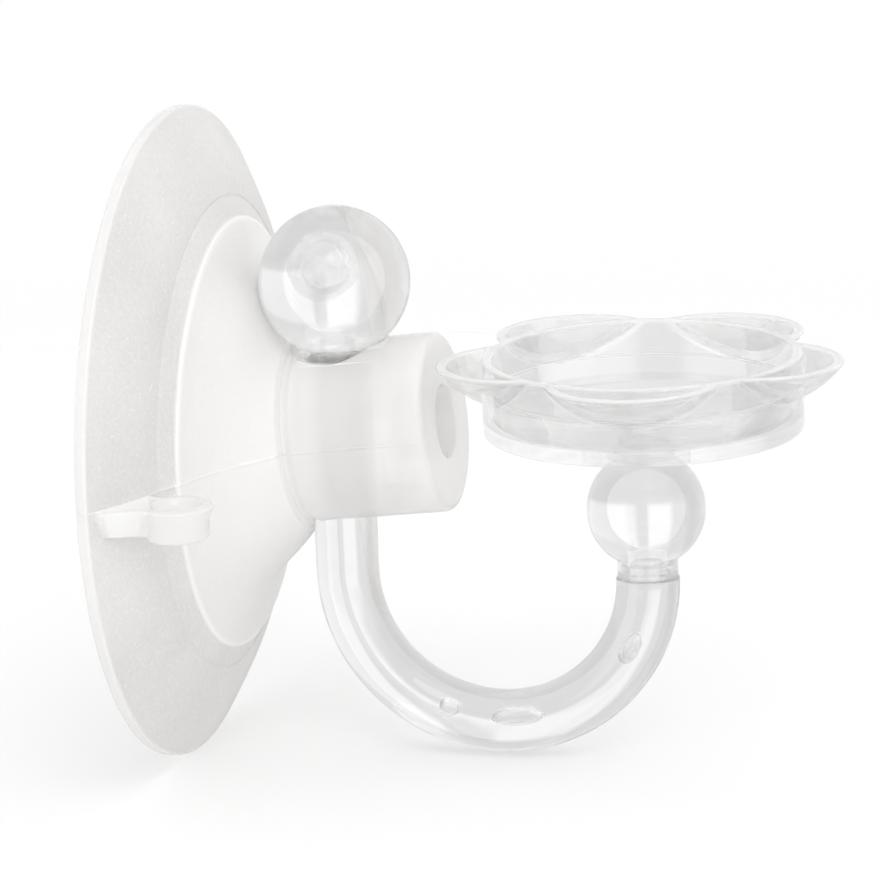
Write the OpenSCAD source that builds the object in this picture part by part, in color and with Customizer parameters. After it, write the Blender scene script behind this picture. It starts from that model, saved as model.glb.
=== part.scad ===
// Wall holder for a razor: a suction cup carries a swan-neck arm with a small
// flower-shaped dish. X runs out from the wall along the cup's axis, Z is up,
// and the origin is the middle of the circle where the cup's rim meets the wall.

/* [Suction cup] */
// Radius of the cup at its rim
cup_r = 30; // [27:0.5:34]
// Thickness of the rim's outer edge
rim_edge = 0.95; // [0.7:0.05:1.4]
// Width of the flat ring that touches the wall
rim_land = 1.4; // [1:0.1:2]
// Radius at the foot of the raised ring
ring_foot_r = 21.6; // [20.8:0.1:23]
// Radius at the crest of the raised ring
ring_top_r = 19.8; // [18.8:0.1:20.4]
// Height of the ring's foot above the wall
ring_foot_x = 4.75; // [4.5:0.05:5.1]
// Height of the ring's step
ring_step = 1.2; // [0.9:0.05:1.6]
// Depth of the hollow behind the cup
hollow_depth = 7; // [6:0.1:8]

/* [Boss] */
// Radius of the boss
boss_r = 8.2; // [7.8:0.1:9]
// Distance from the wall to the back of the boss
boss_back = 12; // [11.5:0.1:13]
// Length of the boss
boss_len = 13.3; // [12:0.1:15]
// Upward lift of the soft boss under its load, in degrees
boss_lift = 5.8; // [0:0.2:7]
// Rounding of the boss's front edge
boss_edge = 0.7; // [0.4:0.1:1.2]
// Width of the groove between the cup and the boss
groove_w = 0.9; // [0.5:0.1:1.2]
// Depth of that groove
groove_d = 0.4; // [0.2:0.1:0.6]
// Radius of the blind bore in the boss's front face
bore_r = 3.2; // [2.5:0.1:4]
// Depth of the blind bore
bore_depth = 4.3; // [3:0.1:5.5]
// Distance from the back of the boss to the arm's upright axis
arm_inset = 3.3; // [3.3:0.1:4]
// Radial clearance of the arm in the boss
arm_clear = 0.06; // [0.03:0.01:0.1]
// Radius of the seat under the ball
seat_r = 4.3; // [4:0.1:5]
// Depth of that seat below the top of the boss
seat_depth = 1.4; // [1:0.1:1.6]
// Clearance of the boss round the ball's underside
ball_clear = 0.2; // [0.15:0.05:0.3]

/* [Pull tab] */
// Distance from the cup's axis to the middle of the tab
tab_offset = 25.9; // [25:0.1:26.5]
// Distance from the wall to the middle of the tab's pad
tab_reach = 7.7; // [7:0.1:9]
// Thickness of the tab's tongue
tab_t = 2.5; // [2:0.1:2.8]
// Width of the tab's tongue along its top
tab_w = 6.2; // [5:0.1:6.4]
// Draft of the tab's sides, from top to bottom
tab_draft = 0.7; // [0.3:0.05:0.9]
// Thickness of the tab's pad
pad_t = 2.9; // [2.4:0.1:3.4]
// Radius of the tab's pad
pad_r = 3.2; // [2.8:0.1:3.8]
// Radius of the dimple in the pad
dimple_r = 2.1; // [1.6:0.1:2.4]
// Depth of the dimple
dimple_depth = 0.8; // [0.4:0.1:1.2]

/* [Arm] */
// Diameter of the rod
rod_d = 5.8; // [5:0.1:6.4]
// Radius of the bend along the rod's middle
bend_r = 14.1; // [13.6:0.1:16]
// Drop from the cup's axis to the middle of the bend
bend_drop = 12.9; // [12.5:0.1:15]
// Diameter of the pegs at both ends of the rod
peg_d = 3.2; // [2.6:0.1:3.6]
// Length of the peg inside the ball
ball_peg_len = 5.6; // [4.5:0.1:6.5]
// Length of the peg inside the bead
bead_peg_len = 6; // [5:0.1:6.2]
// Gap left round a glued peg
glue_gap = 0.02; // [0.01:0.01:0.05]

/* [Ball finial] */
// Radius of the ball
ball_r = 6.9; // [6.4:0.1:7.4]
// Height of the short foot that shows under the ball
foot_h = 0.1; // [0.1:0.1:0.6]
// Radius of that foot
foot_r = 3.5; // [3.3:0.1:3.8]
// Running gap under the foot
foot_gap = 0.05; // [0.03:0.01:0.1]

/* [Bead coupler] */
// Radius of the bead
bead_r = 5.4; // [5:0.1:5.8]
// Distance from the rod's end to the middle of the bead
bead_rise = 6.5; // [6.3:0.1:7.2]
// Radius of the collar under the bead and of the neck above it
collar_r = 2.75; // [2.5:0.05:2.9]

/* [Flower dish] */
// Distance from the middle of the bead to the underside of the dish
dish_rise = 7.45; // [7:0.05:8]
// Outer radius of the dish's wall
dish_r = 14.4; // [13.6:0.1:15]
// Height of the dish
dish_h = 7; // [6:0.1:8]
// Thickness of the wall
wall_t = 1; // [0.8:0.05:1.4]
// Thickness of the floor
floor_t = 1.15; // [0.9:0.05:1.5]
// Length of the stud under the dish, inside the bead
stud_len = 6; // [5:0.1:6.2]
// Number of petals
petals = 5; // [3:1:6]
// Turn of the first petal from the arm's direction, in degrees
petal_turn = -11.4; // [-18:0.2:18]
// Distance from the dish's axis to the middle of a petal
petal_at = 11.1; // [10.5:0.1:11.5]
// Radius of a petal at the rim
petal_r = 7.8; // [7:0.1:8.2]
// Depth of a petal's scoop, outside
petal_depth = 4.05; // [3.2:0.05:4.6]
// Thickness of a petal
petal_t = 0.9; // [0.6:0.05:1.2]

/* [Hidden] */
$fn = 96;
soft_clear = [0.88, 0.88, 0.87];
rigid_clear = [0.82, 0.85, 0.87];

rod_r = rod_d / 2;
peg_r = peg_d / 2;
peg_hole_r = peg_r + glue_gap;
arm_x = boss_back + arm_inset;
dish_x = arm_x + 2 * bend_r;

// Heights up the shank, from the boss to the ball
boss_top = boss_r / cos(boss_lift) + arm_inset * tan(boss_lift);
seat_z = boss_top - seat_depth;
foot_z = seat_z + foot_gap;
ball_z = foot_z + foot_h + ball_r;

// Heights up the front leg, from the rod's end to the dish's rim
joint_z = -bend_drop;
bead_z = joint_z + bead_rise;
dish_z = bead_z + dish_rise;
rim_z = dish_z + dish_h;
well_r = dish_r - wall_t;

// A petal is a scoop outside the wall, part of a ball-shaped shell whose centre lies above the rim
scoop_r = (petal_r * petal_r + petal_depth * petal_depth) / (2 * petal_depth);
scoop_up = scoop_r - petal_depth;

// How far a cut runs past the face it opens, and a peg's root into the rod
past = 1;
peg_root = 1;

// Smooth curve through a list of points, with n steps between neighbours
function spline_at(a, b, c, d, t) =
    0.5 * (2 * b + (c - a) * t + (2 * a - 5 * b + 4 * c - d) * t * t
    + (3 * b - a - 3 * c + d) * t * t * t);
function spline(p, n) = [
    for (i = [0 : len(p) - 2], j = [0 : n - 1])
        spline_at(p[max(i - 1, 0)], p[i], p[i + 1], p[min(i + 2, len(p) - 1)], j / n),
    p[len(p) - 1]
];

// Front of the flange, from the rim's edge to the foot of the raised ring, as [radius, height]
flange_front = spline([
    [cup_r, rim_edge],
    [cup_r - 0.36 * (cup_r - ring_foot_r), 0.44 * ring_foot_x + 0.56 * rim_edge],
    [cup_r - 0.68 * (cup_r - ring_foot_r), 0.79 * ring_foot_x + 0.21 * rim_edge],
    [ring_foot_r, ring_foot_x]
], 5);

// Front of the dome, from the crest of the raised ring to the back of the boss
dome_x = ring_foot_x + ring_step;
dome_rise = boss_back - dome_x;
dome_in = ring_top_r - boss_r;
dome_front = spline([
    [ring_top_r, dome_x],
    [ring_top_r - 0.24 * dome_in, dome_x + 0.14 * dome_rise],
    [ring_top_r - 0.5 * dome_in, dome_x + 0.38 * dome_rise],
    [ring_top_r - 0.77 * dome_in, dome_x + 0.72 * dome_rise],
    [boss_r + groove_d, boss_back]
], 5);

// Hollow behind the cup, from its middle out to the flat ring
land_r = cup_r - rim_land;
hollow = spline([
    [0, hollow_depth],
    [0.25 * land_r, 0.95 * hollow_depth],
    [0.52 * land_r, 0.74 * hollow_depth],
    [0.76 * land_r, 0.48 * hollow_depth],
    [0.92 * land_r, 0.23 * hollow_depth],
    [land_r, 0]
], 5);

// Turns a shape made round Z to lie along X
module along_x() {
    rotate([0, 90, 0]) children();
}

// Puts children in the boss's own frame, with the boss's lift
module on_boss() {
    translate([boss_back, 0, 0]) rotate([0, -boss_lift, 0]) children();
}

module cup_body() {
    along_x() rotate_extrude() polygon(concat(
        [[0, boss_back], [0, hollow_depth]],
        [for (i = [1 : len(hollow) - 1]) hollow[i]],
        [[cup_r, 0]],
        flange_front,
        dome_front
    ));
}

// Profile of the boss: a narrow groove ring at its back, a rounded edge at its front
module boss_body() {
    on_boss() along_x() rotate_extrude() polygon(concat(
        [[0, -boss_r / 2], [boss_r - groove_d, -boss_r / 2], [boss_r - groove_d, groove_w / 2],
         [boss_r, groove_w]],
        [for (a = [0 : 15 : 90]) [
            boss_r - boss_edge + boss_edge * cos(a),
            boss_len - boss_edge + boss_edge * sin(a)]],
        [[0, boss_len]]
    ));
}

module pull_tab() {
    top = tab_w / 2;
    bottom = top - tab_draft;
    translate([0, -tab_offset, 0]) {
        translate([rim_edge, 0, 0]) rotate([90, 0, 90]) linear_extrude(tab_reach - rim_edge)
            polygon([[-top, 0], [top, 0], [bottom, -tab_t], [-bottom, -tab_t]]);
        translate([tab_reach, 0, -pad_t]) cylinder(r1 = pad_r - tab_draft, r2 = pad_r, h = pad_t);
    }
}

module cup_hollow() {
    along_x() rotate_extrude() polygon(concat(
        hollow,
        [[land_r, -past], [0, -past]]
    ));
}

module suction_cup() {
    color(soft_clear) difference() {
        union() {
            cup_body();
            boss_body();
            pull_tab();
        }
        cup_hollow();
        translate([tab_reach, -tab_offset, -dimple_depth])
            cylinder(r = dimple_r, h = dimple_depth + past);
        on_boss() translate([boss_len - bore_depth, 0, 0])
            along_x() cylinder(r = bore_r, h = bore_depth + past);
        translate([arm_x, 0, -2 * boss_r])
            cylinder(r = rod_r + arm_clear, h = 4 * boss_r);
        translate([arm_x, 0, seat_z])
            cylinder(r = seat_r, h = seat_depth + boss_r);
        translate([arm_x, 0, ball_z]) sphere(r = ball_r + ball_clear);
    }
}

// A peg that stands on the rod at height z; its root runs on inside the rod
module peg(x, z, h) {
    translate([x, 0, z - peg_root]) cylinder(r = peg_r, h = h + peg_root);
}

module swan_neck_arm() {
    color(rigid_clear) {
        translate([arm_x, 0, joint_z]) cylinder(r = rod_r, h = foot_z - joint_z);
        translate([arm_x + bend_r, 0, joint_z]) rotate([90, 0, 0])
            rotate_extrude(angle = -180) translate([bend_r, 0]) circle(r = rod_r);
        peg(arm_x, joint_z, foot_z - joint_z + ball_peg_len);
        peg(dish_x, joint_z, bead_peg_len);
    }
}

module ball_finial() {
    color(rigid_clear) difference() {
        union() {
            translate([arm_x, 0, ball_z]) sphere(r = ball_r);
            translate([arm_x, 0, foot_z]) cylinder(r = foot_r, h = foot_h + ball_r);
        }
        translate([arm_x, 0, foot_z - past])
            cylinder(r = peg_hole_r, h = ball_peg_len + glue_gap + past);
    }
}

module bead_coupler() {
    color(rigid_clear) difference() {
        union() {
            translate([dish_x, 0, bead_z]) sphere(r = bead_r);
            translate([dish_x, 0, joint_z]) cylinder(r = collar_r, h = dish_z - joint_z);
        }
        translate([dish_x, 0, joint_z - past])
            cylinder(r = peg_hole_r, h = dish_z - joint_z + 2 * past);
    }
}

// One petal's shell or its hollow, from a ball of radius r round the petal's own centre
module scoop(r) {
    translate([petal_at, 0, rim_z + scoop_up]) sphere(r = r);
}

module each_petal() {
    for (i = [0 : petals - 1]) rotate([0, 0, petal_turn + 360 * i / petals]) children();
}

module flower_dish() {
    color(rigid_clear) translate([dish_x, 0, 0]) {
        difference() {
            union() {
                translate([0, 0, dish_z]) cylinder(r = dish_r, h = dish_h);
                difference() {
                    intersection() {
                        each_petal() scoop(scoop_r);
                        translate([0, 0, dish_z]) cylinder(r = petal_at + 2 * petal_r, h = dish_h);
                    }
                    each_petal() scoop(scoop_r - petal_t);
                }
            }
            translate([0, 0, dish_z + floor_t]) cylinder(r = well_r, h = dish_h);
        }
        translate([0, 0, dish_z - stud_len]) cylinder(r = peg_r, h = stud_len + floor_t / 2);
    }
}

suction_cup();
swan_neck_arm();
ball_finial();
bead_coupler();
flower_dish();
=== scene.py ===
import math

import bmesh
import bpy
from mathutils import Matrix, Vector, noise


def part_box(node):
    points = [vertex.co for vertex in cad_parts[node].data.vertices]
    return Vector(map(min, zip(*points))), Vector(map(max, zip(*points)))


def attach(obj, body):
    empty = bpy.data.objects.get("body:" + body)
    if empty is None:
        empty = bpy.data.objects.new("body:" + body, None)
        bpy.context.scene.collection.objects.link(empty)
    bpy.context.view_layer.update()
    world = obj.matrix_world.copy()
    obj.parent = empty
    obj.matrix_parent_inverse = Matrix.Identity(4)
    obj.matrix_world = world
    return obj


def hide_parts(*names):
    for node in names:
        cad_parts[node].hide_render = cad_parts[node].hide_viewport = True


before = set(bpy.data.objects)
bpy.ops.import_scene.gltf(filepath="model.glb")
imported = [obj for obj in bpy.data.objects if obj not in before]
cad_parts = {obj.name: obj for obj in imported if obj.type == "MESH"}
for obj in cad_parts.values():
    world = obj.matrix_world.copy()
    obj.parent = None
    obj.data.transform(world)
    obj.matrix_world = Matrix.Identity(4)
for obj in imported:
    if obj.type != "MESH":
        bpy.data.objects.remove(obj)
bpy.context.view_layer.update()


# Everything is shaped in millimetres and written out in metres
def boxInMm(node):
    low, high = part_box(node)
    return low * 1000, high * 1000


ballLow, ballHigh = boxInMm("ball_finial")
beadLow, beadHigh = boxInMm("bead_coupler")

rimR = boxInMm("suction_cup")[1].z            # cup's radius at the wall
rodR = boxInMm("swan_neck_arm")[1].y
rimZ = boxInMm("flower_dish")[1].z
armX = (ballLow.x + ballHigh.x) / 2           # the swivel's axis
dishX = (beadLow.x + beadHigh.x) / 2          # middle of bead and dish
bendR = (dishX - armX) / 2
ballR = (ballHigh.x - ballLow.x) / 2
ballZ = ballHigh.z - ballR
footZ = ballLow.z                             # underside of the ball's foot
beadR = (beadHigh.x - beadLow.x) / 2
jointZ = beadLow.z                            # where the rod ends under the bead
dishZ = beadHigh.z                            # underside of the dish
pegR = 1.6                                    # pegs of the rod and the dish
boreR = 1.62                                  # their bores in ball and bead
sharpAngle = 35                               # edges past this many degrees shade as corners


# Camera, at the photograph's angle
view = {
    "turn": 14.61,       # degrees round the object
    "height": 13.99,     # degrees above it
    "roll": -2.39,
    "distance": 0.36,
    "aside": 0.02384,    # how far the aim lies from the origin, to the right and up
    "up": -0.00094,
    "lens": 159.2,
    "sensor": 36,
}


def makeCamera(v):
    turn, height, roll = (math.radians(v[key]) for key in ("turn", "height", "roll"))
    back = Vector((math.sin(turn) * math.cos(height),
                   -math.cos(turn) * math.cos(height), math.sin(height)))
    right = Vector((math.cos(turn), math.sin(turn), 0))
    above = back.cross(right)
    sideways = right * math.cos(roll) + above * math.sin(roll)
    upward = above * math.cos(roll) - right * math.sin(roll)
    data = bpy.data.cameras.new("camera")
    data.lens = v["lens"]
    data.sensor_width = v["sensor"]
    data.clip_start = 0.01
    camera = bpy.data.objects.new("camera", data)
    place = Matrix((sideways, upward, back)).transposed().to_4x4()
    place.translation = back * v["distance"] + sideways * v["aside"] + upward * v["up"]
    camera.matrix_world = place
    bpy.context.scene.collection.objects.link(camera)
    bpy.context.scene.camera = camera


makeCamera(view)
print("camera ready")


# Outlines for turned pieces are lists of (radius, height)
def curveThrough(points, steps):
    found = []
    for index in range(len(points) - 1):
        near = [Vector(points[min(max(index + k, 0), len(points) - 1)])
                for k in (-1, 0, 1, 2)]
        for step in range(steps):
            t = step / steps
            found.append(tuple(0.5 * (
                2 * near[1] + (near[2] - near[0]) * t
                + (2 * near[0] - 5 * near[1] + 4 * near[2] - near[3]) * t ** 2
                + (3 * near[1] - near[0] - 3 * near[2] + near[3]) * t ** 3)))
    return found + [tuple(points[-1])]


def roundedOutline(corners, steps=5):
    # a corner with a third value is rounded, its curve reaching that far along both sides
    outline = []
    for index, corner in enumerate(corners):
        if len(corner) == 2:
            outline.append(tuple(corner))
            continue
        here = Vector(corner[:2])
        before = Vector(corners[index - 1][:2]) - here
        after = Vector(corners[(index + 1) % len(corners)][:2]) - here
        reach = min(corner[2], before.length * 0.49, after.length * 0.49)
        start = here + before.normalized() * reach
        end = here + after.normalized() * reach
        for step in range(steps + 1):
            t = step / steps
            outline.append(tuple(start * (1 - t) ** 2 + here * 2 * t * (1 - t) + end * t ** 2))
    return outline


def turned(bm, outline, centre, across, axis, steps):
    # spins an outline round an axis: radius runs along across, height along axis
    centre, across, axis = Vector(centre), Vector(across), Vector(axis)
    verts = [bm.verts.new(centre + across * radius + axis * height) for radius, height in outline]
    edges = [bm.edges.new(pair) for pair in zip(verts, verts[1:])]
    bmesh.ops.spin(bm, geom=verts + edges, cent=centre, axis=axis, dvec=(0, 0, 0),
                   angle=2 * math.pi, steps=steps, use_merge=True)
    bmesh.ops.remove_doubles(bm, verts=bm.verts, dist=0.0005)
    bmesh.ops.recalc_face_normals(bm, faces=bm.faces)


def addBubble(bm, centre, along, length, width, wobble, seed, blunt=2):
    # a closed hollow in the plastic; its faces look into the hollow
    made = bmesh.ops.create_icosphere(bm, subdivisions=5, radius=1)["verts"]
    faces = list({face for vert in made for face in vert.link_faces})
    bmesh.ops.recalc_face_normals(bm, faces=faces)
    bmesh.ops.reverse_faces(bm, faces=faces)
    for vert in made:
        flat = vert.co.xy.length
        if flat > 0.001:
            # a blunt of 2 is round, and more is fuller towards the ends
            wide = (1 - min(abs(vert.co.z), 1) ** blunt) ** (1 / blunt)
            vert.co.xy *= wide / flat
        vert.co *= 1 + wobble * noise.noise(vert.co * 1.7 + Vector((seed, 0, 0)))
    turn = Vector((0, 0, 1)).rotation_difference(Vector(along)).to_matrix().to_4x4()
    size = Matrix.Diagonal((width / 2, width / 2, length / 2, 1))
    bmesh.ops.transform(bm, matrix=Matrix.Translation(centre) @ turn @ size, verts=made)


def markPoints(piece, name, share):
    # share gives the attribute's value at a point in millimetres
    attribute = piece.data.attributes.new(name, "FLOAT", "POINT")
    attribute.data.foreach_set("value", [share(*(vert.co * 1000)) for vert in piece.data.vertices])


def finishPiece(bm, name, material, body, nodes):
    bmesh.ops.scale(bm, vec=(0.001, 0.001, 0.001), verts=bm.verts)
    mesh = bpy.data.meshes.new(name)
    bm.to_mesh(mesh)
    bm.free()
    for polygon in mesh.polygons:
        polygon.use_smooth = True
    mesh.set_sharp_from_angle(angle=math.radians(sharpAngle))
    mesh.materials.append(material)
    piece = bpy.data.objects.new(name, mesh)
    bpy.context.scene.collection.objects.link(piece)
    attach(piece, body)
    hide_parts(*nodes)
    print(name, "made:", len(mesh.polygons), "faces")
    return piece


# Shader maths
class Field:
    def __init__(self, shade, socket):
        self.shade = shade
        self.socket = socket

    def maths(self, operation, first, second):
        return self.shade.make("ShaderNodeMath", {"operation": operation}, {0: first, 1: second})

    def __add__(self, other):
        return self.maths("ADD", self, other)

    def __sub__(self, other):
        return self.maths("SUBTRACT", self, other)

    def __rsub__(self, other):
        return self.maths("SUBTRACT", other, self)

    def __mul__(self, other):
        return self.maths("MULTIPLY", self, other)

    def __pow__(self, other):
        return self.maths("POWER", self, other)

    __radd__ = __add__
    __rmul__ = __mul__


class Shade:
    def __init__(self, tree):
        self.tree = tree
        tree.nodes.clear()

    def make(self, kind, settings=None, sockets=None, output=0):
        node = self.tree.nodes.new(kind)
        for name, value in (settings or {}).items():
            if name == "stops":
                # stops are kept in order of place, so each gets its grey level afterwards
                stops = node.color_ramp.elements
                stops.remove(stops[1])
                stops[0].position = value[0][0]
                for place, level in value[1:]:
                    stops.new(place)
                for place, level in value:
                    for stop in stops:
                        if abs(stop.position - place) < 0.0001:
                            stop.color = (level, level, level, 1)
            else:
                setattr(node, name, value)
        for name, value in (sockets or {}).items():
            if isinstance(value, Field):
                self.tree.links.new(value.socket, node.inputs[name])
            else:
                node.inputs[name].default_value = value
        return Field(self, node.outputs[output]) if len(node.outputs) else None

    def smooth(self, value, low, high, start=0, end=1):
        return self.make("ShaderNodeMapRange", {"interpolation_type": "SMOOTHSTEP"},
                         {"Value": value, "From Min": low, "From Max": high,
                          "To Min": start, "To Max": end})

    def noise(self, place, scale, detail=2, roughness=0.5):
        return self.make("ShaderNodeTexNoise", {}, {
            "Vector": place, "Scale": scale, "Detail": detail, "Roughness": roughness})

    def mix(self, factor, first, second):
        return self.make("ShaderNodeMix", {"data_type": "RGBA"},
                         {0: factor, 6: first, 7: second}, output=2)

    def bump(self, height, strength, distance):
        return self.make("ShaderNodeBump", {}, {
            "Height": height, "Strength": strength, "Distance": distance})

    def mark(self, name):
        # reads a number that was set on the piece's points
        return self.make("ShaderNodeAttribute", {"attribute_name": name}, output=2)

    def finish(self, share, first, second):
        surface = self.make("ShaderNodeMixShader", {}, {0: share, 1: first, 2: second})
        self.make("ShaderNodeOutputMaterial", {}, {"Surface": surface})


def newMaterial(name):
    material = bpy.data.materials.new(name)
    material.use_nodes = True
    return material, Shade(material.node_tree)


# Soft clear vinyl of the cup: milky all through, etched on the flange and glossy on the boss
softLook = {
    "clear": (0.985, 0.985, 0.98, 1),
    "pale": (0.965, 0.955, 0.945, 1),
    "deep": (0.66, 0.645, 0.63, 1),
    "alpha": 0.48,         # of the clear share
    "ior": 1.5,
    "glossyRoughness": 0.06,
    "frostedRoughness": 0.5,
    "milkRougher": 0.1,
    "grain": 2600,         # sizes of the patterns, per metre
    "speckle": 4200,
    "cloud": 70,
    "waves": 120,
    "speckleFrom": 0.64,
    "speckleTo": 0.76,
    "bump": 0.35,
    "bumpDepth": 0.00008,
}


def softClear(look):
    material, shade = newMaterial("soft_clear_vinyl")
    place = shade.make("ShaderNodeTexCoord", output=3)
    frost, milkShare = shade.mark("frost"), shade.mark("milk")
    grain = shade.noise(place, look["grain"], 3, 0.6)
    speckle = shade.smooth(shade.noise(place, look["speckle"], 1),
                           look["speckleFrom"], look["speckleTo"])
    cloud = shade.noise(place, look["cloud"], 3)
    waves = shade.noise(place, look["waves"], 2)
    deepness = frost ** 0.5 * (0.3 + 0.7 * cloud + 0.5 * (grain - 0.5) - 0.5 * speckle)
    colour = shade.mix(deepness, look["pale"], look["deep"])
    glossy = look["glossyRoughness"]
    roughness = glossy + frost * (look["frostedRoughness"] - glossy)
    relief = frost * frost * (grain + 0.6 * speckle) + 0.6 * waves
    normal = shade.bump(relief, look["bump"], look["bumpDepth"])
    clear = shade.make("ShaderNodeBsdfPrincipled", {}, {
        "Base Color": look["clear"], "Roughness": roughness, "IOR": look["ior"],
        "Transmission Weight": 1, "Alpha": look["alpha"], "Normal": normal})
    milk = shade.make("ShaderNodeBsdfPrincipled", {}, {
        "Base Color": colour, "Roughness": roughness + look["milkRougher"],
        "IOR": look["ior"], "Normal": normal})
    shade.finish(milkShare, clear, milk)
    return material


# Rigid clear plastic. Below 1, alpha lets light straight through, as thin clear walls do
rigidLook = {
    "name": "rigid_clear_plastic",
    "alpha": 0.76,
    "thinner": 0.6,        # share of alpha lost where a piece is marked thin
    "clear": (0.996, 0.997, 0.996, 1),
    "haze": (0.985, 0.987, 0.985, 1),
    "milky": (0.93, 0.925, 0.92, 1),
    "ior": 1.49,
    "roughness": 0.015,
    "hazeRoughness": 0.06,
    "milkyRoughness": 0.12,
    "hazeSize": 160,       # sizes of the patterns, per metre
    "flow": 110,
    "fine": 1500,
    "hazeFrom": 0.5,
    "hazeTo": 0.75,
    "bump": 0.3,
    "bumpDepth": 0.0006,
}
thinLook = {**rigidLook, "name": "thin_clear_plastic", "alpha": 0.66}
beadLook = {**rigidLook, "name": "bead_clear_plastic", "alpha": 0.6}


def rigidClear(look):
    material, shade = newMaterial(look["name"])
    place = shade.make("ShaderNodeTexCoord", output=3)
    haze = shade.smooth(shade.noise(place, look["hazeSize"], 3), look["hazeFrom"], look["hazeTo"])
    waves = shade.noise(place, look["flow"], 2)
    fine = shade.noise(place, look["fine"], 2)
    colour = shade.mix(haze, look["clear"], look["haze"])
    roughness = look["roughness"] + haze * (look["hazeRoughness"] - look["roughness"])
    normal = shade.bump(waves + 0.02 * fine, look["bump"], look["bumpDepth"])
    milkShare, thin = shade.mark("milk"), shade.mark("thin")
    clear = shade.make("ShaderNodeBsdfPrincipled", {}, {
        "Base Color": colour, "Roughness": roughness, "IOR": look["ior"], "Transmission Weight": 1,
        "Alpha": look["alpha"] * (1 - look["thinner"] * thin), "Normal": normal})
    milk = shade.make("ShaderNodeBsdfPrincipled", {}, {
        "Base Color": look["milky"], "Roughness": look["milkyRoughness"], "IOR": look["ior"],
        "Normal": normal})
    shade.finish(milkShare, clear, milk)
    return material


softMaterial = softClear(softLook)
rigidMaterial = rigidClear(rigidLook)
thinMaterial = rigidClear(thinLook)
beadMaterial = rigidClear(beadLook)
print("materials ready")


# Suction cup with its boss and pull tab
cup = {
    "edge": 0.95,          # rim's thickness
    "land": 1.4,           # flat ring on the wall
    "ringFootR": 21.6,
    "ringTopR": 19.8,
    "ringFoot": 4.75,
    "ringStep": 1.2,
    "domeStep": 0.34,
    "hollow": 7,
    "bossR": 8.2,
    "bossBack": 12,
    "bossLen": 13.3,
    "lift": 5.8,           # degrees
    "liftFrom": 8.2,       # where the neck begins to bend, and over what length
    "liftOver": 3.8,
    "grooveWide": 0.8,
    "grooveDeep": 0.18,
    "boreR": 3.2,
    "boreDeep": 4.3,
    "armHoleR": 2.96,
    "seatR": 4.3,
    "seatDeep": 0.05,      # below the ball's foot
    "ballGap": 0.2,
    "seamHalf": 0.11,
    "seamRise": 0.07,
    "seamOnDome": 0.75,    # shares of the rise
    "seamOnBoss": 1.4,
    "seamRough": 0.6,
    "seamGrain": 0.55,
    "steps": 240,
}
# per zone of its surface, how far it is etched and how milky it is; the seam's crest and the dome's
# step are left unetched and milky, which paints them as pale highlight lines
cupFrost = {
    "flange": 1.0, "rim": 0.06, "step": 0.0, "dome": 0.22, "boss": 0.0, "bossEdge": 0.0,
    "seat": 0.0, "bore": 0.0, "inside": 0.0, "tab": 0.0, "seamHighlight": 0.0, "back": 0.1,
}
cupMilk = {
    "flange": 0.85, "rim": 0.7, "step": 0.9, "dome": 0.9, "boss": 0.48, "bossEdge": 0.66,
    "seat": 0.9, "bore": 0.6, "inside": 0.0, "tab": 0.62, "seamHighlight": 1.0, "back": 0.02,
}
# how far the zones reach past the edges that part them, in millimetres
zoneReach = {
    "neck": 0.3,
    "bossDepth": 0.7,
    "bossFront": 0.3,
    "groove": 0.4,
    "frontEdge": 1,
    "bore": 0.15,
    "boreEnd": 0.3,
    "seat": 0.05,
    "seatFloor": 0.3,
    "ballSide": 2,
    "domeFoot": 0.35,
    "domeTop": 0.6,
    "step": 0.1,
    "ringBelow": 0.6,
    "tabFrom": 3,
    "rim": 0.15,
    "slope": 0.4,
    "flangeBelow": 0.35,
    "flangeAbove": 0.45,
    # how much of the seam's half width is painted as a pale highlight line
    "seamHighlight": 0.5,
}
tab = {
    "at": -25.9,
    "reach": 7.7,          # the pad's middle, out from the wall
    "root": 0.6,
    "rootHalf": 3.6,
    "waistHalf": 2.75,
    "thick": 2.5,
    "taper": 0.75,         # how far the sides draw in towards the underside
    "padR": 3.2,
    "buttonR": 2.75,
    "buttonDeep": 3.0,
    "buttonTop": 1.2,      # below the pad's face, inside the pad
    "dimpleR": 2.1,
    "dimpleDeep": 0.7,
    "soften": 0.3,
    "padSteps": 48,
}


def flangeFront(c):
    across = rimR - c["ringFootR"]
    return curveThrough([
        (rimR, c["edge"]),
        (rimR - 0.36 * across, 0.44 * c["ringFoot"] + 0.56 * c["edge"]),
        (rimR - 0.68 * across, 0.79 * c["ringFoot"] + 0.21 * c["edge"]),
        (c["ringFootR"], c["ringFoot"])], 7)


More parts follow.
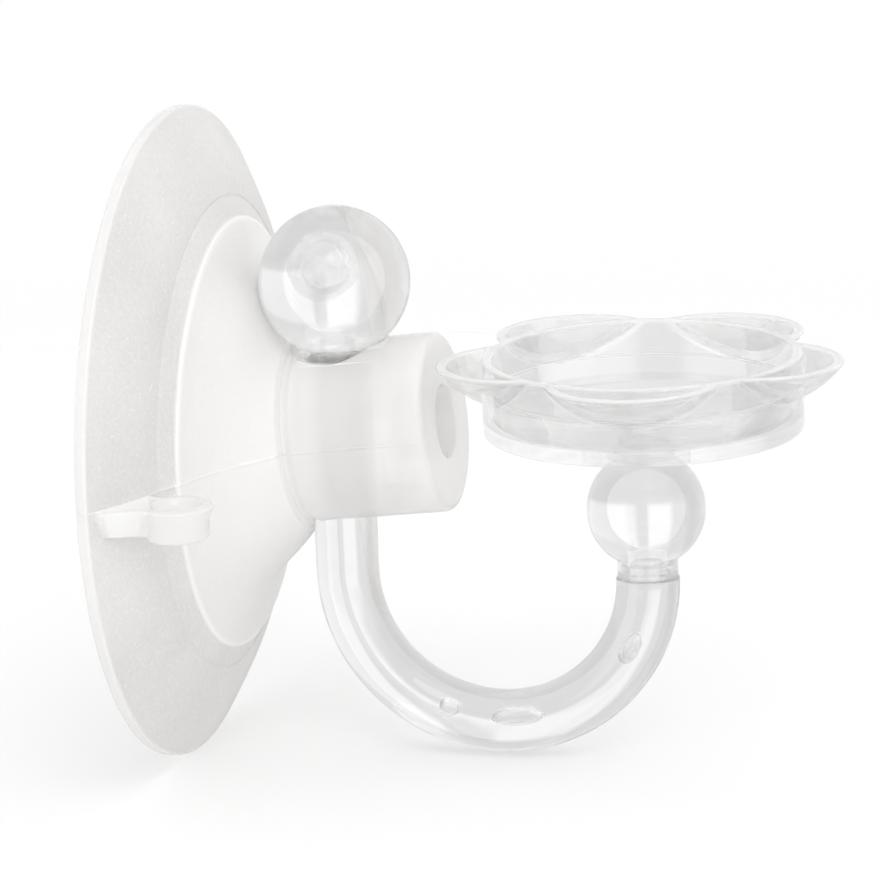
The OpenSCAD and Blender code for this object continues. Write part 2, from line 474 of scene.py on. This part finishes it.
def cupOutline(c):
    land = rimR - c["land"]
    deep = c["hollow"]
    hollow = curveThrough([(0, deep), (0.25 * land, 0.95 * deep), (0.52 * land, 0.74 * deep),
                           (0.76 * land, 0.48 * deep), (0.92 * land, 0.23 * deep), (land, 0)], 6)
    crest = c["ringFoot"] + c["ringStep"]
    rise = c["bossBack"] - crest
    inward = c["ringTopR"] - c["bossR"]
    dome = curveThrough([
        (c["ringTopR"], crest),
        (c["ringTopR"] - 0.24 * inward, crest + 0.14 * rise),
        (c["ringTopR"] - 0.5 * inward, crest + 0.38 * rise),
        (c["ringTopR"] - 0.77 * inward, crest + 0.72 * rise),
        (c["bossR"] + c["grooveDeep"], c["bossBack"])], 7)
    flange = flangeFront(c)
    foot, top = c["ringFootR"], c["ringTopR"]
    front = c["bossBack"] + c["bossLen"]
    neckR = c["bossR"] - c["grooveDeep"]
    ringBase = flange[-1][1]
    return roundedOutline(
        hollow[:-1] + [(land, 0, 0.15), (rimR, 0, 0.3), (*flange[0], 0.34)] + flange[1:-1]
        + [(foot + 0.25, ringBase - 0.1), (foot, ringBase - 0.1, 0.1),
           (foot - 0.12, ringBase + 0.05, 0.1),
           (top + 0.12, crest - c["domeStep"], 0.06), (top, crest, 0.2)] + dome[1:-1]
        + [(*dome[-1], 0.25), (neckR, c["bossBack"] + 0.1, 0.2),
           (neckR, c["bossBack"] + c["grooveWide"] * 0.6, 0.15),
           (c["bossR"], c["bossBack"] + c["grooveWide"], 0.3), (c["bossR"], c["bossBack"] + 4),
           (c["bossR"], front - 4), (c["bossR"], front, 0.8), (c["boreR"] + 0.1, front, 0.3),
           (c["boreR"], front - c["boreDeep"], 0.35), (0, front - c["boreDeep"])])


def raiseSeam(bm, c):
    # the parting line runs over the front of the cup in the plane z = 0
    front = c["bossBack"] + c["bossLen"] - 1

    def outside():
        bm.normal_update()
        found = []
        for face in bm.faces:
            middle = face.calc_center_median()
            if face.normal.x > -0.05 and middle.yz.length > c["boreR"] + 1 and middle.x < front:
                found.append(face)
        return found

    for height in (-c["seamHalf"], c["seamHalf"]):
        faces = outside()
        edges = list({edge for face in faces for edge in face.edges})
        verts = list({vert for face in faces for vert in face.verts})
        bmesh.ops.bisect_plane(bm, geom=verts + edges + faces, dist=0.00001,
                               plane_co=(0, 0, height), plane_no=(0, 0, 1))
    crest = {vert for face in outside() for vert in face.verts if abs(vert.co.z) < 0.0001}
    for vert in crest:
        share = c["seamOnDome"] if vert.co.x < c["bossBack"] else c["seamOnBoss"]
        share += c["seamRough"] * noise.noise(vert.co * c["seamGrain"])
        vert.co += vert.normal * c["seamRise"] * share


def liftBoss(bm, c):
    # the soft boss stands a little upwards under its load, and the dome's neck bends with it
    pivot = Vector((c["bossBack"], 0, 0))
    for vert in bm.verts:
        share = min(max((vert.co.x - c["liftFrom"]) / c["liftOver"], 0), 1)
        share = share * share * (3 - 2 * share)
        turn = Matrix.Rotation(-math.radians(c["lift"]) * share, 3, "Y")
        vert.co = pivot + turn @ (vert.co - pivot)


def tongueMesh(t):
    # a keyhole-shaped block, drawn up ring by ring from its underside
    waist = math.asin(t["waistHalf"] / t["padR"]) - math.pi
    pad = [(t["reach"] + t["padR"] * math.cos(a), t["padR"] * math.sin(a))
           for a in (waist - 2 * waist * step / t["padSteps"] for step in range(t["padSteps"] + 1))]
    flare = 0.3 * t["waistHalf"] + 0.7 * t["rootHalf"]
    side = curveThrough([(t["root"], -t["rootHalf"]), (t["root"] + 2, -flare),
                         (t["reach"] - t["padR"], -t["waistHalf"] - 0.03), pad[0]], 6)
    outline = side[:-1] + pad + [(x, -y) for x, y in reversed(side[:-1])]
    quarter = [math.pi / 10 * step for step in range(6)]
    soften = t["soften"]
    levels = [(-t["thick"] + soften * (1 - math.cos(a)), t["taper"] + soften * (1 - math.sin(a)))
              for a in quarter]
    levels += [(soften * (math.sin(a) - 1), soften * (1 - math.cos(a))) for a in quarter]
    rings = []
    for height, inset in levels:
        ring = []
        for index, (x, y) in enumerate(outline):
            before = Vector(outline[max(index - 1, 0)])
            after = Vector(outline[min(index + 1, len(outline) - 1)])
            along = (after - before).normalized()
            ring.append(Vector((x - along.y * inset, t["at"] + y + along.x * inset, height)))
        rings.append(ring)
    bm = bmesh.new()
    verts = [bm.verts.new(place) for place in rings[0]]
    edges = [bm.edges.new(pair) for pair in zip(verts, verts[1:] + verts[:1])]
    bmesh.ops.contextual_create(bm, geom=edges)
    for old, new in zip(rings, rings[1:]):
        places = {place.to_tuple(4): target for place, target in zip(old, new)}
        made = bmesh.ops.extrude_edge_only(bm, edges=edges)["geom"]
        edges = [item for item in made if isinstance(item, bmesh.types.BMEdge)]
        for vert in [item for item in made if isinstance(item, bmesh.types.BMVert)]:
            vert.co = places[vert.co.to_tuple(4)]
    bmesh.ops.contextual_create(bm, geom=edges)
    bmesh.ops.recalc_face_normals(bm, faces=bm.faces)
    return bm


def buttonMesh(t):
    bm = bmesh.new()
    outline = roundedOutline([(0, -t["buttonDeep"]), (t["buttonR"], -t["buttonDeep"], 0.5),
                              (t["buttonR"] + 0.05, -t["buttonTop"]), (0, -t["buttonTop"])])
    turned(bm, outline, (t["reach"], t["at"], 0), (0, 1, 0), (0, 0, 1), 96)
    return bm


def cutterMesh(t, c):
    # the arm's upright hole, the seat under the ball and the dimple in the pad
    bm = bmesh.new()
    seatZ = footZ - c["seatDeep"]
    reach = ballR + c["ballGap"]
    start = math.acos(c["seatR"] / reach)
    ballSide = [(reach * math.cos(a), ballZ - reach * math.sin(a))
                for a in (start * (1 - step / 12) for step in range(12))]
    below, above = -14, ballZ + 3
    hole = roundedOutline([(0, below), (c["armHoleR"], below), (c["armHoleR"], seatZ, 0.25),
                           (c["seatR"], seatZ, 0.3)] + ballSide + [(reach, above), (0, above)])
    turned(bm, hole, (armX, 0, 0), (0, 1, 0), (0, 0, 1), 128)
    dimpleR, dimpleZ = t["dimpleR"], -t["dimpleDeep"]
    dimple = roundedOutline([(0, dimpleZ), (dimpleR - 0.3, dimpleZ, 0.5),
                             (dimpleR, -0.1, 0.25), (dimpleR + 0.5, 0.3), (0, 0.3)])
    turned(bm, dimple, (t["reach"], t["at"], 0), (0, 1, 0), (0, 0, 1), 96)
    return bm


def helperObject(bm, name):
    mesh = bpy.data.meshes.new(name)
    bm.to_mesh(mesh)
    bm.free()
    helper = bpy.data.objects.new(name, mesh)
    bpy.context.scene.collection.objects.link(helper)
    return helper


def combined(bm, steps):
    # joins and cuts whole solids, one after another, and gives the result as a new bmesh
    base = helperObject(bm, "base")
    helpers = []
    for index, (operation, other) in enumerate(steps):
        helpers.append(helperObject(other, "helper" + str(index)))
        cut = base.modifiers.new(operation, "BOOLEAN")
        cut.operation = operation
        cut.solver = "EXACT"
        cut.object = helpers[-1]
    shaped = base.evaluated_get(bpy.context.evaluated_depsgraph_get())
    result = bmesh.new()
    result.from_mesh(shaped.to_mesh())
    shaped.to_mesh_clear()
    for item in [base] + helpers:
        bpy.data.objects.remove(item)
    bmesh.ops.remove_doubles(result, verts=result.verts, dist=0.002)
    bmesh.ops.dissolve_degenerate(result, edges=result.edges, dist=0.001)
    return result


def bossZone(c, reach, point, unlifted):
    # unlifted is the place from the middle of the boss's back, before the boss was lifted
    fromAxis = unlifted.yz.length
    fromArm = math.hypot(point.x - armX, point.y)
    fromBall = (point - Vector((armX, 0, ballZ))).length
    if fromBall < ballR + c["ballGap"] + reach["seat"]:
        return "seat"
    if abs(point.z - footZ) < reach["seatFloor"] and fromArm < c["seatR"]:
        return "seat"
    boreEnd = c["bossLen"] - c["boreDeep"] - reach["boreEnd"]
    if fromAxis < c["boreR"] + reach["bore"] and unlifted.x > boreEnd:
        return "bore"
    front = unlifted.x > c["bossLen"] - reach["bossFront"]
    if not front and fromAxis <= c["bossR"] - reach["bossDepth"]:
        return "inside"
    inGroove = unlifted.x < c["grooveWide"] + reach["groove"]
    return "bossEdge" if inGroove or unlifted.x > c["bossLen"] - reach["frontEdge"] else "boss"


def cupZone(c, reach, slope, point, normal):
    radius = point.yz.length
    if radius < c["ringTopR"] - reach["domeFoot"]:
        onDome = normal.x > 0.05 and radius > c["bossR"] - reach["domeTop"]
        return "dome" if onDome else "back"
    # the step at the dome's foot is left unetched and milky, so it shows as a pale ring painted as
    # its highlight
    if radius < c["ringTopR"] + reach["step"]:
        return "step" if point.x > c["ringFoot"] else "back"
    if radius < c["ringFootR"]:
        onRing = c["ringFoot"] - reach["ringBelow"] < point.x < c["ringFoot"] + c["ringStep"]
        return "flange" if onRing else "tab" if point.x > reach["tabFrom"] else "back"
    if radius > rimR - reach["rim"]:
        return "rim"
    level = next((height for r, height in slope if r >= radius - reach["slope"]), c["edge"])
    if level - reach["flangeBelow"] < point.x < level + reach["flangeAbove"]:
        return "flange"
    return "tab" if point.x > level else "back"


def markFinish(piece, c, reach):
    # writes how frosted and how milky the cup is at each of its points, and paints pale highlight
    # lines on the seam's crest and the dome's step
    slope = list(reversed(flangeFront(c)))
    pivot = Vector((c["bossBack"], 0, 0))
    turnBack = Matrix.Rotation(math.radians(c["lift"]), 3, "Y")
    frost, milk = [], []
    for vert in piece.data.vertices:
        point = vert.co * 1000
        radius = point.yz.length
        unlifted = turnBack @ (point - pivot)
        if unlifted.x > -reach["neck"] and radius < c["ringTopR"] - reach["ballSide"]:
            zone = bossZone(c, reach, point, unlifted)
        else:
            zone = cupZone(c, reach, slope, point, vert.normal)
        # the crest of the real raised seam is painted as a pale highlight line, unetched and fully
        # milky
        if zone in ("dome", "flange", "step") and abs(point.z) < c["seamHalf"] * reach["seamHighlight"]:
            zone = "seamHighlight"
        # the dome clears towards the boss
        outward = min(max((radius - c["bossR"]) / (c["ringTopR"] - c["bossR"]), 0), 1)
        frost.append(cupFrost[zone] * (outward if zone == "dome" else 1))
        milk.append(cupMilk[zone])
    for name, values in (("frost", frost), ("milk", milk)):
        attribute = piece.data.attributes.new(name, "FLOAT", "POINT")
        attribute.data.foreach_set("value", values)


def makeCup(c, t):
    bm = bmesh.new()
    turned(bm, cupOutline(c), (0, 0, 0), (0, -1, 0), (1, 0, 0), c["steps"])
    raiseSeam(bm, c)
    liftBoss(bm, c)
    bmesh.ops.recalc_face_normals(bm, faces=bm.faces)
    bm = combined(bm, [("UNION", tongueMesh(t)), ("UNION", buttonMesh(t)),
                       ("DIFFERENCE", cutterMesh(t, c))])
    piece = finishPiece(bm, "soft_cup", softMaterial, "cup", ["suction_cup"])
    markFinish(piece, c, zoneReach)


makeCup(cup, tab)


# Swan-neck arm: one rod with a peg at each end, and bubbles left in the bend
arm = {
    "around": 72,
    "bendSteps": 96,
    "ballPeg": 1.5,        # lengths of the pegs
    "beadPeg": 1.2,
    "shoulder": 0.22,
    "wobble": 0.07,        # of the bubbles
    "blunt": 2.5,
    "skinThin": 0.3,       # how much more light the bubbles' skin lets through
    "skinWithin": 0.7,     # share of the rod's radius
    "bubbles": [           # place along X and Z, length along the rod, width, seed
        (24.5, -26.0, 1.9, 1.15, 3.1),
        (31.1, -26.6, 4.8, 1.2, 7.7),
        (41.8, -19.3, 3.2, 1.2, 12.4),
    ],
}


def drawOut(bm, ring, rise, radius, centre):
    # extrudes a ring of edges upwards and brings it to a new radius
    made = bmesh.ops.extrude_edge_only(bm, edges=ring)["geom"]
    verts = [item for item in made if isinstance(item, bmesh.types.BMVert)]
    for vert in verts:
        flat = Vector((vert.co.x - centre, vert.co.y))
        flat = flat.normalized() * radius
        vert.co = Vector((centre + flat.x, flat.y, vert.co.z + rise))
    return [item for item in made if isinstance(item, bmesh.types.BMEdge)]


def makeArm(a):
    bm = bmesh.new()
    start = bmesh.ops.create_circle(bm, cap_ends=False, radius=rodR, segments=a["around"],
                                    matrix=Matrix.Translation((dishX, 0, jointZ)))["verts"]
    firstRing = list({edge for vert in start for edge in vert.link_edges})
    swept = bmesh.ops.spin(bm, geom=start + firstRing, cent=(armX + bendR, 0, jointZ),
                           axis=(0, 1, 0), dvec=(0, 0, 0), angle=math.pi,
                           steps=a["bendSteps"])["geom_last"]
    lastRing = [item for item in swept if isinstance(item, bmesh.types.BMEdge)]
    edge = a["shoulder"]

    def shoulderAndPeg(ring, height, peg, centre):
        straight = height - edge
        levels = [(straight * 0.25, rodR)] * 4 if straight > 1 else []
        part = 0.3927      # a quarter of a right angle
        levels += [(edge * (math.sin(k * part) - math.sin((k - 1) * part)),
                    rodR - edge * (1 - math.cos(k * part))) for k in (1, 2, 3, 4)]
        levels += [(0, pegR + 0.1), (0.1, pegR), (peg / 2, pegR),
                   (peg / 2 - 0.2, pegR), (0.12, pegR - 0.12)]
        for rise, radius in levels:
            ring = drawOut(bm, ring, rise, radius, centre)
        bmesh.ops.contextual_create(bm, geom=ring)

    shoulderAndPeg(lastRing, footZ - jointZ, a["ballPeg"], armX)
    shoulderAndPeg(firstRing, 0, a["beadPeg"], dishX)
    bmesh.ops.remove_doubles(bm, verts=bm.verts, dist=0.0005)
    bmesh.ops.recalc_face_normals(bm, faces=bm.faces)
    for x, z, length, width, seed in a["bubbles"]:
        spoke = Vector((x - armX - bendR, 0, z - jointZ)).normalized()
        along = (-spoke.z, 0, spoke.x)
        addBubble(bm, (x, 0, z), along, length, width, a["wobble"], seed, a["blunt"])
    piece = finishPiece(bm, "clear_arm", rigidMaterial, "arm", ["swan_neck_arm"])

    def thinAt(x, y, z):
        # the skin of the bubbles, well inside the bend
        aside = math.hypot(math.hypot(x - armX - bendR, z - jointZ) - bendR, y)
        return a["skinThin"] if z < jointZ - 1 and aside < rodR * a["skinWithin"] else 0

    markPoints(piece, "thin", thinAt)


makeArm(arm)


# Ball on the arm's upper end, with the void that its thick middle shrank to
ball = {
    "footR": 3.5,
    "boreDeep": 1.62,
    "voidAt": (14.6, 0, 15.15),
    "voidAlong": (0.1, 0, 1),
    "voidWide": 4.2,
    "wobble": 0.09,
    "seed": 5.2,
    "thinRound": 0.56,     # share of the void's width
    "thinFoot": 2,         # above the foot, and fading over the next length
    "thinOver": 1.2,
    "sideSteps": 72,
    "steps": 160,
}


def makeBall(b):
    low = math.acos(b["footR"] / ballR)
    side = [(ballR * math.cos(angle), ballZ + ballR * math.sin(angle))
            for angle in (-low + (math.pi / 2 + low) * step / b["sideSteps"]
                          for step in range(b["sideSteps"]))]
    boreTop = footZ + b["boreDeep"]
    outline = roundedOutline([(0, boreTop), (boreR, boreTop, 0.2), (boreR, footZ, 0.12),
                              (b["footR"], footZ, 0.25), (*side[0], 0.2)]
                             + side[1:] + [(0, ballZ + ballR)])
    bm = bmesh.new()
    turned(bm, outline, (armX, 0, 0), (0, 1, 0), (0, 0, 1), b["steps"])
    addBubble(bm, b["voidAt"], b["voidAlong"], b["voidWide"], b["voidWide"], b["wobble"], b["seed"])
    piece = finishPiece(bm, "clear_ball", rigidMaterial, "arm", ["ball_finial"])
    reach = b["voidWide"] * b["thinRound"]

    def thinAt(x, y, z):
        # the void's skin and the ball's foot let more light through
        inVoid = (Vector((x, y, z)) - Vector(b["voidAt"])).length < reach
        return 1 if inVoid else min(max((footZ + b["thinFoot"] - z) / b["thinOver"], 0), 1)

    markPoints(piece, "thin", thinAt)


makeBall(ball)


# Bead with its collar on the rod's end and its neck under the dish
bead = {
    "collarR": 2.75,
    "middleUp": 6.5,       # from the collar's end to the middle of the bead
    "boreDeep": 1.35,      # at both ends
    "jointGap": 0.07,
    "dishGap": 0.16,
    "sideSteps": 64,
    "steps": 144,
}


def makeBead(b):
    low, high = jointZ + b["jointGap"], dishZ - b["dishGap"]
    middle = jointZ + b["middleUp"]
    lean = math.acos(b["collarR"] / beadR)
    side = [(beadR * math.cos(angle), middle + beadR * math.sin(angle))
            for angle in (-lean + 2 * lean * step / b["sideSteps"]
                          for step in range(b["sideSteps"] + 1))]
    below, above = low + b["boreDeep"], high - b["boreDeep"]
    outline = roundedOutline([(0, below), (boreR, below, 0.2), (boreR, low, 0.1),
                              (b["collarR"], low, 0.16), (*side[0], 0.25)] + side[1:-1]
                             + [(*side[-1], 0.25), (b["collarR"], high, 0.12),
                                (boreR, high, 0.1), (boreR, above, 0.2), (0, above)])
    bm = bmesh.new()
    turned(bm, outline, (dishX, 0, 0), (0, 1, 0), (0, 0, 1), b["steps"])
    finishPiece(bm, "clear_bead", beadMaterial, "arm", ["bead_coupler"])


makeBead(bead)


# Flower dish: a round wall, and outside it five petals, each a scoop open at the top
dish = {
    "outerR": 14.4,
    "wall": 1.0,
    "floor": 1.15,
    "stud": 1.2,
    "petals": 5,
    "firstPetal": -11.4,   # degrees from the arm's direction
    "petalAt": 11.1,
    "petalR": 7.8,
    "petalDeep": 4.05,
    "petalThick": 0.8,
    "lip": 0.34,           # height over which every edge is rounded
    "lipHalf": 0.45,
    "blend": 0.45,
    "lipMilk": 0.6,
    "petalMilk": 0.12,
    "ringMilk": 0.8,
    "thinOutside": 0.5,
    "thinInside": 0.45,
    "flashRise": 0.03,
    "flashLines": (-100.5, -24.75, 78, 154.5),
    "ringLines": (3.2, 5.5),   # below the rim, on the well's side
    "ringRise": 0.05,
    "ringHalf": 0.2,
    "outsideRows": 34,     # up the petals, down their pockets and up the wall
    "pocketRows": 16,
    "wallRows": 5,
    "steps": 480,
}


def smoothMax(first, second, blend):
    share = min(max(0.5 + 0.5 * (second - first) / blend, 0), 1)
    return first + (second - first) * share + blend * share * (1 - share)


def petalTurns(d, angle):
    return [angle - math.radians(d["firstPetal"] + 360 * index / d["petals"])
            for index in range(d["petals"])]


def scoopReach(d, angle, height, ballSize, ballUp):
    # how far the scoops reach from the dish's axis at that angle and height
    widest = ballSize ** 2 - (rimZ + ballUp - height) ** 2
    farthest = 0
    for away in petalTurns(d, angle):
        inside = widest - (d["petalAt"] * math.sin(away)) ** 2
        if inside > 0 and math.cos(away) > 0:
            farthest = max(farthest, d["petalAt"] * math.cos(away) + math.sqrt(inside))
    return farthest


def scoopDepth(d, angle, ballSize, ballUp):
    # how deep the pocket is where it meets the wall
    depth = 0
    for away in petalTurns(d, angle):
        aside = (d["outerR"] ** 2 + d["petalAt"] ** 2
                 - 2 * d["outerR"] * d["petalAt"] * math.cos(away))
        if aside < ballSize ** 2:
            depth = max(depth, math.sqrt(ballSize ** 2 - aside) - ballUp)
    return depth


def dishSection(d, angle):
    # the outline at one angle: stud, base, petal, lip, pocket, wall and well
    outer, well = d["outerR"], d["outerR"] - d["wall"]
    crest, lip = (outer + well) / 2, d["lip"]
    ballSize = (d["petalR"] ** 2 + d["petalDeep"] ** 2) / (2 * d["petalDeep"])
    ballUp = ballSize - d["petalDeep"]
    hollowSize = ballSize - d["petalThick"]
    low = rimZ - d["petalDeep"] - 0.1
    studZ = dishZ - d["stud"]
    section = roundedOutline([(0, studZ), (pegR, studZ, 0.2), (pegR, dishZ, 0.15),
                              (outer, dishZ, 0.35), (outer, dishZ + 1), (outer, low - 0.5)])
    rows = d["outsideRows"]
    for step in range(rows + 1):
        height = low + (rimZ - lip - low) * step / rows
        radius = scoopReach(d, angle, height, ballSize, ballUp)
        section.append((smoothMax(outer, radius, d["blend"]), height))

    reach = section[-1][0]
    top = reach - min(d["lipHalf"], (reach - well) / 2)
    deep = scoopDepth(d, angle, hollowSize, ballUp)
    drop = min(lip, deep)
    wallR = min(outer, top)
    hollow = min(max(scoopReach(d, angle, rimZ - drop, hollowSize, ballUp), outer), top)
    quarter = [(math.cos(a), math.sin(a)) for a in (math.pi / 8 * step for step in range(1, 5))]
    section += [(top + (reach - top) * cos, rimZ - lip + lip * sin) for cos, sin in quarter]
    section += [(top + (hollow - top) * sin, rimZ - drop + drop * cos) for cos, sin in quarter]
    rows = d["pocketRows"]
    for step in range(1, rows + 1):
        height = rimZ - drop - (deep - drop) * step / rows
        radius = scoopReach(d, angle, height, hollowSize, ballUp)
        section.append((min(max(radius, wallR), hollow), height))
    rows = d["wallRows"]
    section += [(wallR, rimZ - deep + (deep - drop) * step / rows) for step in range(1, rows + 1)]
    section += [(crest + (wallR - crest) * cos, rimZ - drop + drop * sin) for cos, sin in quarter]
    section += [(crest - (crest - well) * sin, rimZ - lip + lip * cos) for cos, sin in quarter]
    half = d["ringHalf"]
    for line in d["ringLines"]:
        lineZ = rimZ - line
        section += [(well, lineZ + half), (well - d["ringRise"], lineZ), (well, lineZ - half)]
    floor = dishZ + d["floor"]
    return section + roundedOutline([(well, floor + 0.9), (well, floor, 0.6),
                                     (well - 3, floor), (0, floor)])


def makeDish(d):
    # a turned blank gives the faces, and each of its points is then set on the outline of its angle
    rows = len(dishSection(d, 0))
    blank = [(0, 0)] + [(5, step * 0.1) for step in range(1, rows - 1)] + [(0, (rows - 1) * 0.1)]
    bm = bmesh.new()
    turned(bm, blank, (dishX, 0, 0), (0, 1, 0), (0, 0, 1), d["steps"])
    flashes = [round(angle * d["steps"] / 360) for angle in d["flashLines"]]
    sections = {}
    for vert in bm.verts:
        turn = round(math.atan2(vert.co.y, vert.co.x - dishX) * d["steps"] / (2 * math.pi))
        angle = turn * 2 * math.pi / d["steps"]
        if turn not in sections:
            sections[turn] = dishSection(d, angle)
        radius, height = sections[turn][round(vert.co.z * 10)]
        if turn in flashes and dishZ + 0.3 < height < rimZ - 0.2:
            radius += d["flashRise"] if radius > d["outerR"] - 0.01 else 0
        vert.co = Vector((dishX + radius * math.cos(angle), radius * math.sin(angle), height))
    bmesh.ops.remove_doubles(bm, verts=bm.verts, dist=0.002)
    bmesh.ops.dissolve_degenerate(bm, edges=bm.edges, dist=0.001)
    bmesh.ops.recalc_face_normals(bm, faces=bm.faces)
    piece = finishPiece(bm, "clear_flower_dish", thinMaterial, "arm",
                        ["flower_dish"])
    well = d["outerR"] - d["wall"]

    def milkAt(x, y, z):
        # lips, petals and the two ring lines scatter more light than the clear walls
        radius = math.hypot(x - dishX, y)
        lipShare = min(max((z - rimZ) / d["lip"] + 1.3, 0), 1) * d["lipMilk"]
        petalShare = min(max((radius - d["outerR"]) / 0.6, 0), 1) * d["petalMilk"]
        onLine = well - d["ringRise"] - 0.01 < radius < well - 0.01 and z > dishZ + 2
        return max(lipShare, petalShare, d["ringMilk"] if onLine else 0)

    def thinAt(x, y, z):
        outside = math.hypot(x - dishX, y) > d["outerR"] - 0.5 or z < dishZ + 0.5
        return d["thinOutside"] if outside else d["thinInside"]

    markPoints(piece, "milk", milkAt)
    markPoints(piece, "thin", thinAt)


makeDish(dish)


# Floor, world and lamps
studio = {
    "floorAt": (0.02, 0, -0.03006),
    "floorR": 0.27,
    "fadeStart": 0.07,
    "fadeEnd": 0.26,
    "fadeLeast": 0.35,     # keeps the shadow light
    "floorColour": (0.97, 0.97, 0.97, 1),
    "daylight": 1.0,
    # grey cards stand round the set, the same again after each third of the way round
    "cardRepeat": 3,
    "cardTurn": 90,        # degrees
    "cards": [(0.0, 1.0), (0.035, 1.0), (0.05, 0.72), (0.095, 0.72), (0.11, 1.0),
              (0.215, 1.0), (0.25, 0.66), (0.53, 0.70), (0.60, 1.0), (1.0, 1.0)],
    "cardTop": 0.75,       # heights between which the cards begin
    "cardFull": 0.45,
    # grey levels from straight down to straight up
    "heights": [(0.0, 0.82), (0.12, 0.72), (0.34, 0.70), (0.365, 1.0), (0.60, 1.0),
                (0.64, 0.74), (0.79, 0.74), (0.84, 1.0), (1.0, 1.0)],
    "keyPower": 0.8,
    "keyAt": (0.22, -0.42, 0.5),
    "keyAim": (0.03, 0, 0),
    "keySize": 0.35,
}


def makeFloor(s):
    bm = bmesh.new()
    bmesh.ops.create_circle(bm, cap_ends=True, radius=s["floorR"], segments=96,
                            matrix=Matrix.Translation(s["floorAt"]))
    mesh = bpy.data.meshes.new("floor")
    bm.to_mesh(mesh)
    bm.free()
    floor = bpy.data.objects.new("floor", mesh)
    bpy.context.scene.collection.objects.link(floor)
    material, shade = newMaterial("pale_floor")
    place = shade.make("ShaderNodeTexCoord", output=3)
    away = shade.make("ShaderNodeVectorMath", {"operation": "LENGTH"}, {0: place}, output=1)
    fade = shade.smooth(away, s["fadeStart"], s["fadeEnd"], s["fadeLeast"], 1)
    matt = shade.make("ShaderNodeBsdfDiffuse", {}, {"Color": s["floorColour"]})
    clear = shade.make("ShaderNodeBsdfTransparent")
    glossyRay = shade.make("ShaderNodeLightPath", output=3)
    clearRay = shade.make("ShaderNodeLightPath", output=6)
    fade = fade.maths("MAXIMUM", fade, glossyRay.maths("MAXIMUM", glossyRay, clearRay))
    shade.finish(fade, matt, clear)
    mesh.materials.append(material)


def makeWorld(s):
    world = bpy.data.worlds.new("studio")
    bpy.context.scene.world = world
    world.use_nodes = True
    shade = Shade(world.node_tree)
    direction = shade.make("ShaderNodeTexCoord", output=0)
    x = shade.make("ShaderNodeSeparateXYZ", {}, {0: direction}, output=0)
    y = shade.make("ShaderNodeSeparateXYZ", {}, {0: direction}, output=1)
    z = shade.make("ShaderNodeSeparateXYZ", {}, {0: direction}, output=2)
    around = x.maths("ARCTAN2", y, x) * (s["cardRepeat"] / (2 * math.pi))
    around = around + s["cardRepeat"] * (1 - s["cardTurn"] / 360)
    place = around.maths("FRACT", around, 0)
    cards = shade.make("ShaderNodeValToRGB", {"stops": s["cards"]}, {0: place})
    height = shade.make("ShaderNodeValToRGB", {"stops": s["heights"]}, {0: z * 0.5 + 0.5})
    cardReach = shade.smooth(z, s["cardTop"], s["cardFull"])
    seen = shade.mix(cardReach, (1, 1, 1, 1), cards)
    seen = shade.make("ShaderNodeMix", {"data_type": "RGBA", "blend_type": "DARKEN"},
                      {0: 1.0, 6: seen, 7: height}, output=2)
    plainRay = shade.make("ShaderNodeLightPath", output=0)
    diffuseRay = shade.make("ShaderNodeLightPath", output=2)
    plain = plainRay.maths("MAXIMUM", plainRay, diffuseRay)
    colour = shade.mix(plain, seen, (1, 1, 1, 1))
    surface = shade.make("ShaderNodeBackground", {}, {"Color": colour, "Strength": s["daylight"]})
    shade.make("ShaderNodeOutputWorld", {}, {"Surface": surface})


def makeKey(s):
    data = bpy.data.lights.new("key", "AREA")
    data.shape = "DISK"
    data.size = s["keySize"]
    data.energy = s["keyPower"]
    lamp = bpy.data.objects.new("key", data)
    lamp.location = s["keyAt"]
    aim = Vector(s["keyAim"]) - lamp.location
    lamp.rotation_euler = aim.to_track_quat("-Z", "Y").to_euler()
    bpy.context.scene.collection.objects.link(lamp)


makeFloor(studio)
makeWorld(studio)
makeKey(studio)
bpy.context.scene.view_settings.view_transform = "Standard"
print("studio ready")
